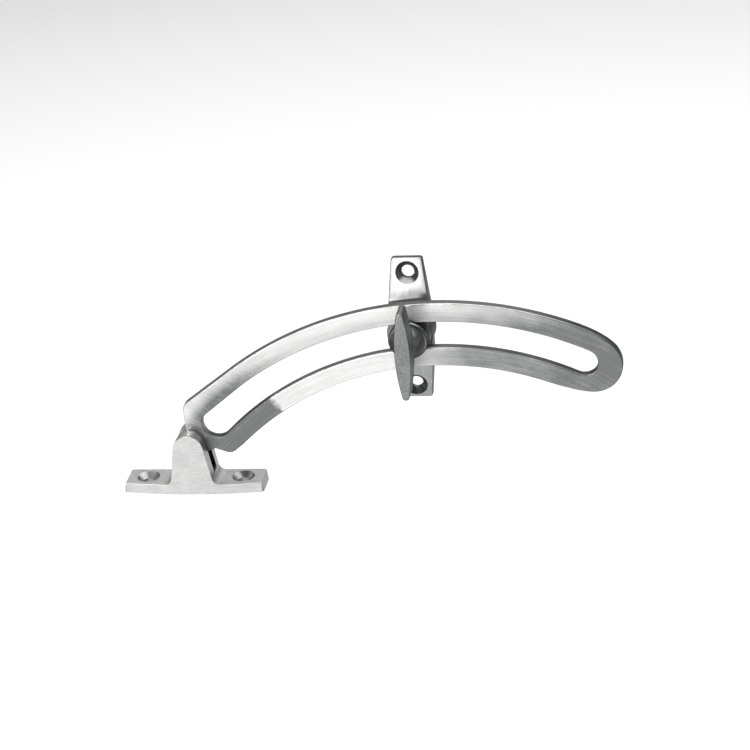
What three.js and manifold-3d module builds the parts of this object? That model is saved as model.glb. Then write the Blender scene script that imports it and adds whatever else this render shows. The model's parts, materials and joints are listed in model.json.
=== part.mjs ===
// Casement window stay: a slotted quadrant arm that hinges on a base bracket at its left
// end and slides through a clamp bracket, where a thumb turn locks it.
// Millimetres. X runs along the arm, Y away from the face, Z up.
// The origin is the centre of the base bracket's underside.

import * as THREE from 'three';
import { mergeVertices } from 'three/addons/utils/BufferGeometryUtils.js';
import Module from 'manifold-3d';

const wasm = await Module();
wasm.setup();

// ---- driving dimensions ----

const GAP = 0.3;                     // clearance between pieces that touch
const ARC_STEPS = 9;                 // straight pieces in each curve of an outline
const ROUND_STEPS = 28;              // sides of a turned piece
const SAME_POINT = 0.01;             // points of an outline closer than this are one

const ARM_THICK = 3.5;
const ARM_EDGE = 0.35;               // chamfer all round the arm
const ARC_CENTRE = { x: 90.74, z: -55.45 };
const ARM_OUTER_R = 125.25;
const ARM_INNER_R = 102.07;
const SLOT_OUTER_R = 118.4;
const SLOT_INNER_R = 108.9;
const SLOT_LEFT_DEG = -45.1;         // slot end centres, from the vertical about the arc centre
const SLOT_LEFT_R = 5.1;             // the slot opens out a little at its left end
const SLOT_RIGHT_DEG = 25.5;
const TIP_DEG = 27.1;
const TIP_CENTRE_R = 114.1;
const TIP_R = 10.1;
const NECK_LEFT = -1.3;              // the neck's outer edge

const PIVOT_Z = 16;
const EYE_R = 5.4;
const PIN_R = 2.4;

const PLATE_HALF = 25.2;
const PLATE_THICK = 3.7;
const PLATE_BACK = 5.4;
const PLATE_FRONT = 5.2;             // depth of the front edge at the plate's ends
const PLATE_BOW = 1.8;               // how far the front edge bows out at the middle
const PLATE_CORNER_R = 1.4;
const END_DRAFT = 0.7;               // the ends lean in by this much at the top
const EAR_R = 5.4;                   // the ears' round tops and the height of their centre
const EAR_Z = 17.4;
const EAR_TAPER = THREE.MathUtils.degToRad(9.5);
const EAR_FOOT_Z = 6;                // where the ears' sides run into the fillets
const EAR_FOOT_X = 10.4;
const FORK_SLOT = ARM_THICK + 2 * GAP;
const FORK_FLOOR_Z = 7.4;
const PIN_BLIND = 2;                 // wall left in front of the pin

const SCREW_R = 2.25;                // countersunk hole for a 4 mm wood screw
const SINK_R = 4.05;
const BASE_HOLE_X = 17.2;

const STUD_DEG = -5.27;              // the stud's place along the slot; it rests low in it
const STUD_ARC_R = 112.6;
const STUD_R = 2.5;
const STUD_TIP = -9;
const STUD_HEAD_R = 5;
const STUD_HEAD = 1.7;
const WASHER_R = 7.4;
const WASHER_THICK = 0.7;
const GUIDE_HALF_WIDTH = 3.4;
const GUIDE_HALF_LENGTH = 5.9;

const CLAMP_BACK = 10.2;
const CLAMP_HALF = 26.15;
const CLAMP_HOLE_Z = 21.1;
const CLAMP_END_HALF = 5.5;          // half width at the ends and beside the boss
const CLAMP_MID_HALF = 7.3;
const LUG_END = 7.5;                 // lug's front face at its end and at the boss's cove
const LUG_ROOT = 5.7;
const COVE_Z = 13.5;
const BOSS_R = 8;
const BOSS_FOOT_R = 8.2;

const PRESSURE_R = 6.9;
const PRESSURE_THICK = 1.5;
const HUB_FLANGE_R = 6.1;
const HUB_R = 4.4;
const WING_FRONT = -16.5;
const WING_BACK = -8.2;              // back edge at the wing's tips
const WING_HALF = 16.1;
const WING_HALF_THICK = 2.75;
const WING_TIP_HALF = 1.25;

// ---- values worked out from them ----

const armFront = -ARM_THICK / 2;
const armBack = ARM_THICK / 2;
const slotR = (SLOT_OUTER_R + SLOT_INNER_R) / 2;
const slotHalf = (SLOT_OUTER_R - SLOT_INNER_R) / 2;
const studBore = STUD_R + GAP;
const pinBore = PIN_R + GAP;
const studSlope = THREE.MathUtils.degToRad(STUD_DEG);
const stud = {
  x: ARC_CENTRE.x + STUD_ARC_R * Math.sin(studSlope),
  z: ARC_CENTRE.z + STUD_ARC_R * Math.cos(studSlope),
};
const rearWasherFront = armBack + GAP;
const bossFront = rearWasherFront + WASHER_THICK + GAP;
const pressureBack = armFront - GAP;
const hubBack = pressureBack - PRESSURE_THICK - GAP;
const plateFront = -(PLATE_FRONT + PLATE_BOW);
const lugSlope = Math.atan((LUG_END - LUG_ROOT) / (CLAMP_HALF - COVE_Z));

// ---- materials: satin brushed metal, and plain steel for the fasteners ----

function metal(color, roughness) {
  return new THREE.MeshStandardMaterial({ color, roughness, metalness: 1 });
}

const satin = metal(0xc4c6c7, 0.34);
const satinDark = metal(0xa9abac, 0.42);
const steel = metal(0xb4b5b5, 0.3);
const washerSteel = metal(0x9a9c9d, 0.38);

// ---- helpers ----

// Turns a closed three.js geometry into a solid, with its faces pointing out.
function solid(geometry) {
  const bare = geometry.clone();
  bare.deleteAttribute('normal');
  bare.deleteAttribute('uv');
  const merged = mergeVertices(bare, 1e-4);
  const place = merged.attributes.position;
  const index = merged.index.array;
  const corners = [0, 1, 2].map(() => new THREE.Vector3());
  const triangles = [];
  let volume = 0;
  for (let i = 0; i < index.length; i += 3) {
    const [a, b, c] = index.slice(i, i + 3);
    if (a === b || b === c || c === a) continue;
    triangles.push([a, b, c]);
    [a, b, c].forEach((vertex, n) => corners[n].fromBufferAttribute(place, vertex));
    volume += corners[0].dot(corners[1].cross(corners[2]));
  }
  if (volume < 0) triangles.forEach((triangle) => triangle.reverse());
  return new wasm.Manifold(new wasm.Mesh({
    numProp: 3,
    vertProperties: Float32Array.from(place.array),
    triVerts: Uint32Array.from(triangles.flat()),
  }));
}

function mesh(name, body, material) {
  const { vertProperties, triVerts } = body.getMesh();
  const geometry = new THREE.BufferGeometry();
  geometry.setAttribute('position', new THREE.BufferAttribute(vertProperties, 3));
  geometry.setIndex(new THREE.BufferAttribute(triVerts, 1));
  geometry.computeVertexNormals();
  const piece = new THREE.Mesh(geometry, material);
  piece.name = name;
  return piece;
}

// The points of an outline, leaving out those that fall on the one before.
function points(path) {
  const all = path.getPoints(ARC_STEPS);
  return all.filter((point, i) => point.distanceTo(all.at(i - 1)) > SAME_POINT);
}

// The same shape, drawn anticlockwise, so that its holes are turned to match.
function plainShape(shape) {
  const outline = points(shape);
  if (THREE.ShapeUtils.isClockWise(outline)) outline.reverse();
  const plain = new THREE.Shape(outline);
  plain.holes = shape.holes.map((hole) => new THREE.Path(points(hole)));
  return plain;
}

// An outline in X and Z, extruded along Y between two planes, with an optional chamfer.
function alongY(shape, front, back, chamfer = 0) {
  const geometry = new THREE.ExtrudeGeometry(plainShape(shape), {
    depth: back - front - 2 * chamfer,
    bevelEnabled: chamfer > 0,
    bevelThickness: chamfer,
    bevelSize: chamfer,
    bevelOffset: -chamfer,
    bevelSegments: 1,
  });
  geometry.rotateX(Math.PI / 2);
  geometry.translate(0, back - chamfer, 0);
  return solid(geometry);
}

// An outline in Y and Z, extruded along X and centred on it.
function alongX(shape, width) {
  const geometry = new THREE.ExtrudeGeometry(plainShape(shape), {
    depth: width,
    bevelEnabled: false,
  });
  geometry.translate(0, 0, -width / 2);
  geometry.applyMatrix4(new THREE.Matrix4().makeBasis(
    new THREE.Vector3(0, 1, 0),
    new THREE.Vector3(0, 0, 1),
    new THREE.Vector3(1, 0, 0),
  ));
  return solid(geometry);
}

// A solid turned about the Y axis from [radius, y] points that start and end on the axis.
function turned(points) {
  const outline = points.map(([radius, y]) => new THREE.Vector2(radius, y));
  return solid(new THREE.LatheGeometry(outline, ROUND_STEPS));
}

// A plain round bar or bore about the Y axis.
function round(radius, from, to) {
  return turned([[0, from], [radius, from], [radius, to], [0, to]]);
}

// A ring about the Y axis with chamfered outer edges.
function washer(outer, inner, front, back, chamfer) {
  const disc = turned([
    [0, front],
    [outer - chamfer, front],
    [outer, front + chamfer],
    [outer, back - chamfer],
    [outer - chamfer, back],
    [0, back],
  ]);
  return disc.subtract(round(inner, front - 1, back + 1));
}

// A cutter for one countersunk screw hole: its wide end is at y = front.
function screwHole(front, back) {
  return turned([
    [0, front - 2],
    [SINK_R, front - 2],
    [SINK_R, front],
    [SCREW_R, front + SINK_R - SCREW_R],
    [SCREW_R, back + 1],
    [0, back + 1],
  ]);
}

// A point and a direction on the arm, both measured about the arc's centre.
function onArc(radius, degrees) {
  const angle = THREE.MathUtils.degToRad(degrees);
  return new THREE.Vector2(radius * Math.sin(angle), radius * Math.cos(angle));
}

function arcAngle(degrees) {
  return Math.PI / 2 - THREE.MathUtils.degToRad(degrees);
}

// ---- quadrant arm, drawn about the arc's centre ----

function armOutline() {
  const pivot = new THREE.Vector2(-ARC_CENTRE.x, PIVOT_Z - ARC_CENTRE.z);
  const neckX = pivot.x + NECK_LEFT;
  const straightDeg = -36.3;                     // the outer edge runs straight beyond this
  const straight = onArc(ARM_OUTER_R, straightDeg);
  const slope = THREE.MathUtils.degToRad(-straightDeg);
  const cornerZ = straight.y - (straight.x - neckX) * Math.tan(slope);
  const cornerCut = 1.9;
  const tip = onArc(TIP_CENTRE_R, TIP_DEG);
  const fallDeg = 22;                            // the outer edge falls away to the tip here
  const fall = onArc(ARM_OUTER_R, fallDeg);
  const tipStart = TIP_R * Math.SQRT1_2;         // it meets the tip's round at 45 degrees
  const fallSlope = THREE.MathUtils.degToRad(fallDeg);
  const fallRun = (tip.x + tip.y + 2 * tipStart - fall.x - fall.y)
    / (Math.cos(fallSlope) - Math.sin(fallSlope));
  const blendDeg = 20.5;                         // the inner edge leaves its arc here
  const blend = onArc(ARM_INNER_R, blendDeg);
  const blendSlope = THREE.MathUtils.degToRad(blendDeg);
  const underTip = tip.y - TIP_R;
  const blendRun = (blend.y - underTip) / Math.tan(blendSlope);

  const outline = new THREE.Shape();
  outline.moveTo(straight.x, straight.y);
  outline.absarc(0, 0, ARM_OUTER_R, arcAngle(straightDeg), arcAngle(fallDeg), true);
  outline.quadraticCurveTo(
    fall.x + fallRun * Math.cos(fallSlope),
    fall.y - fallRun * Math.sin(fallSlope),
    tip.x + tipStart,
    tip.y + tipStart,
  );
  outline.absarc(tip.x, tip.y, TIP_R, Math.PI / 4, -Math.PI / 2, true);
  outline.quadraticCurveTo(blend.x + blendRun, underTip, blend.x, blend.y);
  outline.absarc(0, 0, ARM_INNER_R, arcAngle(blendDeg), arcAngle(-44.5), false);

  // the heel below the slot, and the eye inside the fork
  const heel = pivot.clone().add(new THREE.Vector2(14.2, -2.8));
  outline.lineTo(heel.x + 2, heel.y + 1.7);
  outline.quadraticCurveTo(heel.x, heel.y, heel.x - 2, heel.y + 1);
  outline.lineTo(pivot.x + 8.6, pivot.y - 0.5);
  outline.absarc(pivot.x, pivot.y, EYE_R, -0.4, -Math.PI - 0.5, true);
  outline.quadraticCurveTo(neckX, pivot.y + 4.4, neckX, pivot.y + 7.5);

  // up the neck and round its shoulder
  outline.lineTo(neckX, cornerZ - cornerCut);
  outline.quadraticCurveTo(
    neckX,
    cornerZ,
    neckX + cornerCut * Math.cos(slope),
    cornerZ + cornerCut * Math.sin(slope),
  );
  outline.closePath();

  const left = onArc(SLOT_INNER_R + SLOT_LEFT_R, SLOT_LEFT_DEG);
  const right = onArc(slotR, SLOT_RIGHT_DEG);
  const slot = new THREE.Path();
  slot.absarc(0, 0, SLOT_OUTER_R, arcAngle(straightDeg), arcAngle(SLOT_RIGHT_DEG), true);
  slot.absarc(
    right.x,
    right.y,
    slotHalf,
    arcAngle(SLOT_RIGHT_DEG),
    arcAngle(SLOT_RIGHT_DEG) - Math.PI,
    true,
  );
  slot.absarc(0, 0, SLOT_INNER_R, arcAngle(SLOT_RIGHT_DEG), arcAngle(SLOT_LEFT_DEG), false);
  slot.absarc(
    left.x,
    left.y,
    SLOT_LEFT_R,
    arcAngle(SLOT_LEFT_DEG) - Math.PI,
    arcAngle(SLOT_LEFT_DEG) - 2 * Math.PI,
    true,
  );

  const eye = new THREE.Path();
  eye.absarc(pivot.x, pivot.y, pinBore, 0, 2 * Math.PI, false);
  outline.holes.push(slot, eye);
  return outline;
}

function quadrantArm() {
  const arm = mesh('quadrant_arm', alongY(armOutline(), armFront, armBack, ARM_EDGE), satin);
  arm.position.set(ARC_CENTRE.x, 0, ARC_CENTRE.z);
  return arm;
}

// ---- base bracket: a bowed plate with two ears, cast in one ----

function basePlan() {
  const corner = PLATE_CORNER_R;
  const plan = new THREE.Shape();
  plan.moveTo(-PLATE_HALF + corner, PLATE_BACK);
  plan.quadraticCurveTo(-PLATE_HALF, PLATE_BACK, -PLATE_HALF, PLATE_BACK - corner);
  plan.lineTo(-PLATE_HALF, -PLATE_FRONT + corner);
  plan.quadraticCurveTo(-PLATE_HALF, -PLATE_FRONT, -PLATE_HALF + corner, -PLATE_FRONT);
  plan.quadraticCurveTo(
    0,
    -PLATE_FRONT - 2 * PLATE_BOW,
    PLATE_HALF - corner,
    -PLATE_FRONT,
  );
  plan.quadraticCurveTo(PLATE_HALF, -PLATE_FRONT, PLATE_HALF, -PLATE_FRONT + corner);
  plan.lineTo(PLATE_HALF, PLATE_BACK - corner);
  plan.quadraticCurveTo(PLATE_HALF, PLATE_BACK, PLATE_HALF - corner, PLATE_BACK);
  plan.closePath();
  return plan;
}

function baseProfile() {
  // the ears' sides are tangent to the round top
  const run = (EAR_FOOT_Z - EAR_Z) * Math.sin(EAR_TAPER);
  const footX = (EAR_R - run) / Math.cos(EAR_TAPER);
  const topX = PLATE_HALF - END_DRAFT;
  const profile = new THREE.Shape();
  profile.moveTo(-PLATE_HALF, 0);
  profile.lineTo(PLATE_HALF, 0);
  profile.lineTo(topX + 0.1, PLATE_THICK - 0.5);
  profile.lineTo(topX - 0.4, PLATE_THICK);
  profile.lineTo(EAR_FOOT_X, PLATE_THICK);
  profile.quadraticCurveTo(footX + 0.4, PLATE_THICK, footX, EAR_FOOT_Z);
  profile.absarc(0, EAR_Z, EAR_R, EAR_TAPER, Math.PI - EAR_TAPER, false);
  profile.lineTo(-footX, EAR_FOOT_Z);
  profile.quadraticCurveTo(-footX - 0.4, PLATE_THICK, -EAR_FOOT_X, PLATE_THICK);
  profile.lineTo(-topX + 0.4, PLATE_THICK);
  profile.lineTo(-topX - 0.1, PLATE_THICK - 0.5);
  profile.closePath();
  return profile;
}

function baseBracket() {
  const height = EAR_Z + EAR_R + 1;
  const column = new THREE.ExtrudeGeometry(plainShape(basePlan()), {
    depth: height + 1,
    bevelEnabled: false,
  });
  column.translate(0, 0, -1);
  const forkSlot = new THREE.BoxGeometry(4 * EAR_R, FORK_SLOT, height);
  forkSlot.translate(0, 0, FORK_FLOOR_Z + height / 2);
  let body = alongY(baseProfile(), plateFront - 1, PLATE_BACK + 1).intersect(solid(column));
  body = body.subtract(solid(forkSlot));
  body = body.subtract(round(pinBore, plateFront + PIN_BLIND - GAP, PLATE_BACK + 1)
    .translate([0, 0, PIVOT_Z]));
  for (const side of [-1, 1]) {
    const hole = screwHole(-PLATE_THICK, 0).rotate([-90, 0, 0]);
    body = body.subtract(hole.translate([side * BASE_HOLE_X, 0, 0]));
  }
  return mesh('base_bracket', body, satin);
}

function pivotPin() {
  const front = plateFront + PIN_BLIND;
  const back = PLATE_BACK - GAP;
  const edge = 0.4;
  const pin = mesh('pivot_pin', turned([
    [0, front],
    [PIN_R - edge, front],
    [PIN_R, front + edge],
    [PIN_R, back - edge],
    [PIN_R - edge, back],
    [0, back],
  ]), steel);
  pin.position.z = PIVOT_Z;
  return pin;
}

// ---- clamp bracket and what is on its stud, drawn about the stud's axis ----

function clampProfile() {
  const profile = new THREE.Shape();
  profile.moveTo(CLAMP_BACK, -CLAMP_HALF);
  profile.lineTo(CLAMP_BACK, CLAMP_HALF);
  profile.lineTo(LUG_END, CLAMP_HALF);
  profile.lineTo(LUG_ROOT, COVE_Z);
  profile.quadraticCurveTo(LUG_ROOT - 0.4, BOSS_R + 1.2, bossFront + 0.2, BOSS_R);
  profile.lineTo(bossFront + 0.2, -BOSS_R);
  profile.quadraticCurveTo(LUG_ROOT - 0.4, -BOSS_R - 1.2, LUG_ROOT, -COVE_Z);
  profile.lineTo(LUG_END, -CLAMP_HALF);
  profile.closePath();
  return profile;
}

function clampFace() {
  const corner = 1.3;
  const face = new THREE.Shape();
  face.moveTo(-CLAMP_MID_HALF, -BOSS_R);
  for (const side of [-1, 1]) {
    face.lineTo(side * CLAMP_MID_HALF, side * -BOSS_R);
    face.lineTo(side * CLAMP_MID_HALF, side * BOSS_R);
    face.lineTo(side * CLAMP_END_HALF, side * (CLAMP_HALF - corner));
    face.quadraticCurveTo(
      side * CLAMP_END_HALF,
      side * CLAMP_HALF,
      side * (CLAMP_END_HALF - corner),
      side * CLAMP_HALF,
    );
    face.lineTo(-side * (CLAMP_END_HALF - corner), side * CLAMP_HALF);
    face.quadraticCurveTo(
      -side * CLAMP_END_HALF,
      side * CLAMP_HALF,
      -side * CLAMP_END_HALF,
      side * (CLAMP_HALF - corner),
    );
  }
  face.closePath();
  return face;
}

function clampBracket() {
  const strip = alongX(clampProfile(), 4 * CLAMP_MID_HALF);
  const face = alongY(clampFace(), bossFront - 1, CLAMP_BACK + 1);
  const boss = turned([[0, bossFront], [BOSS_R, bossFront], [BOSS_FOOT_R, CLAMP_BACK], [0, CLAMP_BACK]]);
  let body = strip.intersect(face).add(boss);
  body = body.subtract(round(studBore, bossFront - 1, CLAMP_BACK + 1));
  const headSeat = CLAMP_BACK - 2 * GAP - STUD_HEAD;
  body = body.subtract(round(STUD_HEAD_R + GAP, headSeat, CLAMP_BACK + 1));
  const holeY = LUG_ROOT + (CLAMP_HOLE_Z - COVE_Z) * Math.tan(lugSlope);
  for (const side of [-1, 1]) {
    const hole = screwHole(0, CLAMP_BACK - holeY + 1);
    const tilt = THREE.MathUtils.radToDeg(lugSlope);
    body = body.subtract(hole.rotate([-side * tilt, 0, 0])
      .translate([0, holeY, side * CLAMP_HOLE_Z]));
  }
  return mesh('clamp_bracket', body, satin);
}

function clampStud() {
  const headBack = CLAMP_BACK - GAP;
  const headFront = headBack - STUD_HEAD;
  const edge = 0.6;
  const slotCut = new THREE.BoxGeometry(2.4 * STUD_HEAD_R, 1, 1.1);
  slotCut.translate(0, headBack, 0);
  const body = turned([
    [0, STUD_TIP],
    [STUD_R - edge, STUD_TIP],
    [STUD_R, STUD_TIP + edge],
    [STUD_R, headFront],
    [STUD_HEAD_R, headFront],
    [STUD_HEAD_R, headBack],
    [0, headBack],
  ]).subtract(solid(slotCut));
  return mesh('clamp_stud', body, steel);
}

function rearWasher() {
  const back = rearWasherFront + WASHER_THICK;
  return mesh('rear_washer', washer(WASHER_R, studBore, rearWasherFront, back, 0.15), washerSteel);
}

// A round-ended block that fills the slot and turns on the stud.
function slotGuide() {
  const straight = GUIDE_HALF_LENGTH - GUIDE_HALF_WIDTH;
  const outline = new THREE.Shape();
  outline.absarc(straight, 0, GUIDE_HALF_WIDTH, -Math.PI / 2, Math.PI / 2, false);
  outline.absarc(-straight, 0, GUIDE_HALF_WIDTH, Math.PI / 2, 1.5 * Math.PI, false);
  outline.closePath();
  const bore = new THREE.Path();
  bore.absarc(0, 0, studBore, 0, 2 * Math.PI, false);
  outline.holes.push(bore);
  const guide = mesh('slot_guide', alongY(outline, armFront, armBack), steel);
  guide.rotation.y = studSlope;
  return guide;
}

function pressureWasher() {
  const front = pressureBack - PRESSURE_THICK;
  const body = washer(PRESSURE_R, studBore, front, pressureBack, 0.45);
  return mesh('pressure_washer', body, washerSteel);
}

// ---- thumb turn: a tall thin wing on a flanged hub with a blind bore ----

function wingFace() {
  const tipZ = WING_HALF - WING_TIP_HALF;
  const bulge = 2 * WING_HALF_THICK - WING_TIP_HALF;
  const face = new THREE.Shape();
  face.moveTo(WING_TIP_HALF, -tipZ);
  face.quadraticCurveTo(bulge, 0, WING_TIP_HALF, tipZ);
  face.absarc(0, tipZ, WING_TIP_HALF, 0, Math.PI, false);
  face.quadraticCurveTo(-bulge, 0, -WING_TIP_HALF, -tipZ);
  face.absarc(0, -tipZ, WING_TIP_HALF, Math.PI, 2 * Math.PI, false);
  face.closePath();
  return face;
}

function wingProfile() {
  const rootZ = HUB_R + 0.6;
  const rootY = hubBack - 3.2;
  const profile = new THREE.Shape();
  profile.moveTo(WING_FRONT, -WING_HALF + 1);
  profile.quadraticCurveTo(WING_FRONT, -WING_HALF, WING_FRONT + 1, -WING_HALF);
  profile.lineTo(WING_BACK, -WING_HALF);
  profile.quadraticCurveTo(WING_BACK - 1, -rootZ - 2, rootY, -rootZ);
  profile.lineTo(rootY, rootZ);
  profile.quadraticCurveTo(WING_BACK - 1, rootZ + 2, WING_BACK, WING_HALF);
  profile.lineTo(WING_FRONT + 1, WING_HALF);
  profile.quadraticCurveTo(WING_FRONT, WING_HALF, WING_FRONT, WING_HALF - 1);
  profile.closePath();
  return profile;
}

function thumbTurn() {
  const wing = alongY(wingFace(), WING_FRONT - 1, hubBack)
    .intersect(alongX(wingProfile(), 4 * WING_HALF_THICK));
  const hub = turned([
    [0, hubBack],
    [HUB_FLANGE_R, hubBack],
    [HUB_FLANGE_R, hubBack - 1],
    [HUB_R + 0.5, hubBack - 1.8],
    [HUB_R, hubBack - 3],
    [HUB_R - 0.4, hubBack - 6],
    [WING_HALF_THICK - 0.4, hubBack - 8.6],
    [0, hubBack - 8.8],
  ]);
  const bore = round(studBore, STUD_TIP - GAP, hubBack + 1);
  return mesh('thumb_turn', hub.add(wing).subtract(bore), satinDark);
}

// ---- assembly ----

const base = new THREE.Group();
base.add(baseBracket(), pivotPin());

const clamp = new THREE.Group();
clamp.position.set(stud.x, 0, stud.z);
clamp.add(
  clampBracket(),
  clampStud(),
  rearWasher(),
  slotGuide(),
  pressureWasher(),
  thumbTurn(),
);

const stay = new THREE.Group();
stay.add(base, quadrantArm(), clamp);

export default stay;
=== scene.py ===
"""Casement window stay: modelled pieces, satin metal finishes and a studio, laid out as an add-on."""

import json
import math

import bpy
from bpy.props import FloatProperty, FloatVectorProperty, IntProperty, PointerProperty
from mathutils import Matrix, Vector


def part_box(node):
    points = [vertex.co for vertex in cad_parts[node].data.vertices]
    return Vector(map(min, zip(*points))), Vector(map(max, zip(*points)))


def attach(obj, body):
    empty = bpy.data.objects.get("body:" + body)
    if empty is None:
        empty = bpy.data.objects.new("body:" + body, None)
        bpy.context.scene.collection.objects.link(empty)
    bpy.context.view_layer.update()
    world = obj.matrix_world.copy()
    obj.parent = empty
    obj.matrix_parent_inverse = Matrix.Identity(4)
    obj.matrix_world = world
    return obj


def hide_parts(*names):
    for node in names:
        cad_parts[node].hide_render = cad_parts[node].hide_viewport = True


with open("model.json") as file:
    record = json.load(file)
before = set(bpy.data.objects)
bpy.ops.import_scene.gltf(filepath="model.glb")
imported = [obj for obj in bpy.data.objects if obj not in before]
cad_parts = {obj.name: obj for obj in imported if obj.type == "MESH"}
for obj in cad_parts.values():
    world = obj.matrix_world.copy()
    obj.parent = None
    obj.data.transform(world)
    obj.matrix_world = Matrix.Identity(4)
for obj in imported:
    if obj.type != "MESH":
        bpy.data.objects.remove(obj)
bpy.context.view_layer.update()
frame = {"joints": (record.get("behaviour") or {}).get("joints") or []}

bl_info = {
    "name": "Casement Window Stay",
    "version": (1, 0, 0),
    "blender": (4, 5, 0),
    "location": "View3D > Sidebar > Window Stay",
    "description": "Models a quadrant window stay in satin metal around its packed frame",
    "category": "Add Mesh",
}

MM = 0.001
WELD = 0.002 * MM          # points closer than this are one
FLAT = math.radians(0.4)   # faces closer than this in angle are one flat
PAST = 1                   # a cutter runs this far past what it cuts, in millimetres
NOISE_LOW = 0.3            # nearly all of a noise lies between these
NOISE_HIGH = 0.7
EDGE_TINT = (0.4, 0.4, 0.4, 1.0)   # the plating darkens where it is seen edge on


# ---------------------------------------------------------------- places from the frame

def joint(name):
    """One of the frame's joints, by name."""
    return next(j for j in frame["joints"] if j["name"] == name)


def place(name):
    """A hinge's place in millimetres."""
    return Vector(joint(name)["pos_m"]) / MM


ARC = place("arm_travel")
PIVOT = place("base_pivot")
STUD = place("swivel")


def span(node):
    """A CAD node's lowest and highest corner in millimetres."""
    low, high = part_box(node)
    return low / MM, high / MM


ARM_LOW, ARM_HIGH = span("quadrant_arm")
BASE_LOW, BASE_HIGH = span("base_bracket")
CLAMP_LOW, CLAMP_HIGH = span("clamp_bracket")
PRESS_LOW, PRESS_HIGH = span("pressure_washer")
REAR_LOW, REAR_HIGH = span("rear_washer")
WING_LOW, WING_HIGH = span("thumb_turn")
BOLT_LOW, BOLT_HIGH = span("clamp_stud")
PIN_LOW, PIN_HIGH = span("pivot_pin")
GUIDE_LOW, GUIDE_HIGH = span("slot_guide")

# ---------------------------------------------------------------- sizes in millimetres

ARM_OUTER_R = 125.25
ARM_INNER_R = 102.07
SLOT_OUTER_R = 118.4
SLOT_INNER_R = 108.9
SLOT_LEFT = -45.1          # degrees from the vertical about the arc's centre
SLOT_LEFT_R = 5.1
SLOT_RIGHT = 25.5
TIP_ANGLE = 27.1
TIP_CENTRE_R = 114.1
TIP_R = 10.1
ARC_MIDDLE_R = 113         # the radius at which the scratches along the arm are measured
STRAIGHT_ANGLE = -36.3
FALL_ANGLE = 22.0
BLEND_ANGLE = 20.5
HEEL_ANGLE = -44.5
NECK_LEFT = -1.3
EYE_R = 5.4
FORK_SLOT = 4.1
FORK_FLOOR = 7.4
PLATE = 3.7
EAR_R = 5.4
EAR_Z = 17.4
EAR_TAPER = math.radians(9.5)
EAR_FOOT = 6.0
EAR_FOOT_X = 10.4
END_DRAFT = 0.7            # the plate's ends lean in by this much at the top
PLATE_BOW = 1.8
PLATE_CORNER = 1.4
BASE_HOLE_X = 17.2
SCREW_R = 2.25
SINK_R = 4.05
CLAMP_HOLE_Z = 21.1
CLAMP_END_HALF = 5.5
CLAMP_MID_HALF = 7.3
LUG_END = 7.5
LUG_ROOT = 5.7
COVE_Z = 13.5
LUG_CORNER = 1.3
BEVEL_ROOM = 0.02          # a bevel can stand out by this much, so its face is held in
BOSS_R = 8.0
BOSS_FOOT_R = 8.2
STUD_R = 2.5
BORE_R = 2.8
PIN_R = 2.4
PIN_EDGE = 0.35
PIN_FIT = 0.05
HEAD_R = 5.0
HEAD_THICK = 1.7
HEAD_ROOM = 0.25
STUD_EDGE = 0.5
DRIVER_WIDTH = 1.1
DRIVER_DEEP = 0.5
WASHER_EDGE = 0.15
HUB_FLANGE_R = 6.1
HUB_R = 4.4
WING_HALF = 16.1
WING_THICK = 2.75
WING_TIP = 1.25
WING_BACK = -8.2
WING_CORNER = 0.5
GUIDE_HALF_WIDTH = 3.4
GUIDE_STRAIGHT = 2.5       # from the guide's middle to the centre of each round end
FLOOR = -0.15              # metres; below the arm's lowest swing


class StaySizes(bpy.types.PropertyGroup):
    """Sizes of the finish on the metal's edges."""

    arm_edge: FloatProperty(
        name="Arm Edge", description="Radius on the arm's edges",
        default=0.45 * MM, unit="LENGTH", precision=5)
    cast_edge: FloatProperty(
        name="Cast Edge", description="Radius on the cast brackets' edges",
        default=0.45 * MM, unit="LENGTH", precision=5)
    wing_edge: FloatProperty(
        name="Wing Edge", description="Radius on the thumb turn's edges",
        default=0.4 * MM, unit="LENGTH", precision=5)
    arc_steps: IntProperty(
        name="Arc Steps", description="Straight pieces in the arm's long arcs",
        default=96, min=16, max=256)
    turn_steps: IntProperty(
        name="Turn Steps", description="Sides of a turned piece", default=72, min=12, max=160)


class StayColours(bpy.types.PropertyGroup):
    """Colours of the metals and the studio, as the sRGB values a user picks."""

    satin: FloatVectorProperty(
        name="Satin", description="Satin plating", subtype="COLOR_GAMMA",
        default=(0.95, 0.95, 0.945), min=0, max=1)
    # This grey stands for painted shade on the plating, and is also the grey in the steel's grain.
    satin_grey_and_shade: FloatVectorProperty(
        name="Dull Satin", description="Satin plating where the polishing belt barely touched",
        subtype="COLOR_GAMMA", default=(0.47, 0.483, 0.48), min=0, max=1)
    # The dark colour is painted shade: lines along the edges, and shade in the countersinks and the
    # fork slot.
    dark: FloatVectorProperty(
        name="Dark", description="Tarnish left along the edges and in the holes",
        subtype="COLOR_GAMMA", default=(0.24, 0.245, 0.25), min=0, max=1)
    steel: FloatVectorProperty(
        name="Steel", description="Turned steel", subtype="COLOR_GAMMA",
        default=(0.66, 0.66, 0.66), min=0, max=1)
    floor: FloatVectorProperty(
        name="Floor", description="Plain pale floor", subtype="COLOR_GAMMA",
        default=(0.97, 0.97, 0.97), min=0, max=1)


def linear(colour):
    """An sRGB colour as linear light, with alpha."""
    parts = [c / 12.92 if c <= 0.04045 else ((c + 0.055) / 1.055) ** 2.4 for c in colour]
    return (*parts, 1.0)


def sized():
    """The sizes that the panel's user can change."""
    return bpy.context.scene.stay_sizes


def colours():
    """The colours that the panel's user can change."""
    return bpy.context.scene.stay_colours


# ---------------------------------------------------------------- outlines

def arc(centre, radius, start, end, steps):
    """Points on an arc, in millimetres, from one angle to another in radians."""
    angles = [start + (end - start) / steps * i for i in range(steps + 1)]
    return [(centre[0] + radius * math.cos(a), centre[1] + radius * math.sin(a)) for a in angles]


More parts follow.
